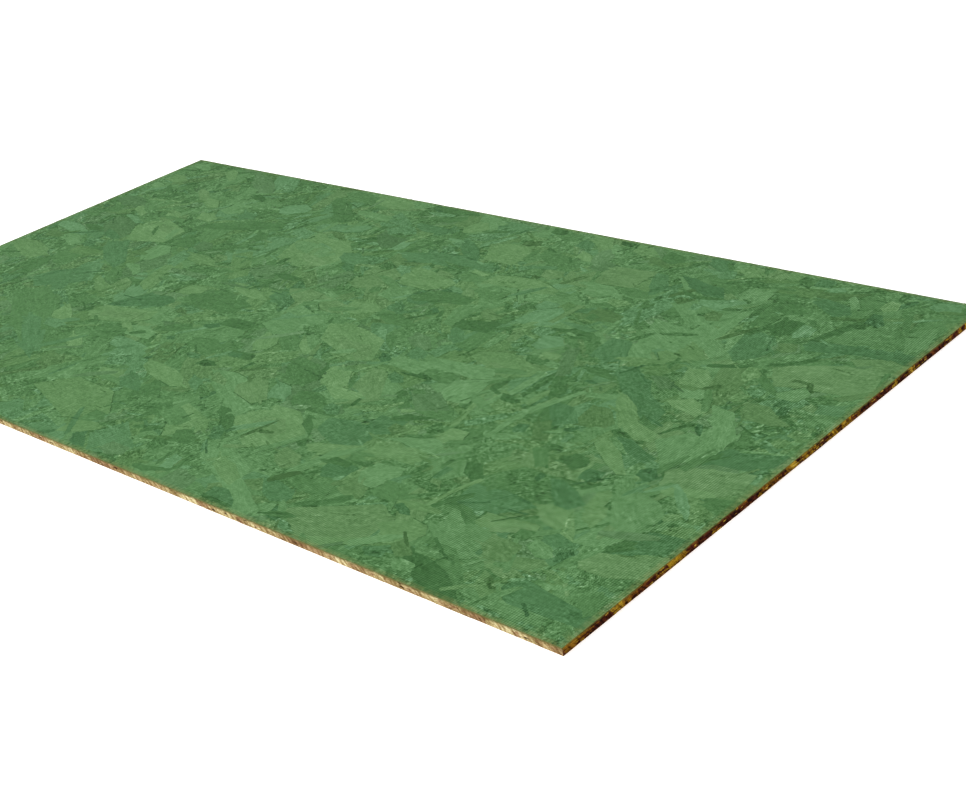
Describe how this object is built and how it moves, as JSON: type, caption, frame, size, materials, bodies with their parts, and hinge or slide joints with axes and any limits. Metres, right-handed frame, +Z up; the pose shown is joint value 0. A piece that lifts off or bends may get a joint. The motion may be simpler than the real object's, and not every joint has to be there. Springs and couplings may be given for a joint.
{
  "type": "osb board",
  "caption": "Flat rectangular sheet of oriented strand board with square sawn edges, one face stained green and the edges and other face bare pressed strands.",
  "frame": {"origin": "middle of the underside, the face that the sheet lies on", "axes": "+X along the sheet's length, +Y across its width, +Z up through its thickness, out of the green face"},
  "size_m": [2.4384, 1.2192, 0.0151],
  "materials": {
    "strand_board": "pressed wood strands with a matt green stain on the top face, bare sawn strands on the edges and underside"
  },
  "bodies": {
    "root": {"osb_board": "strand_board"}
  },
  "joints": []
}
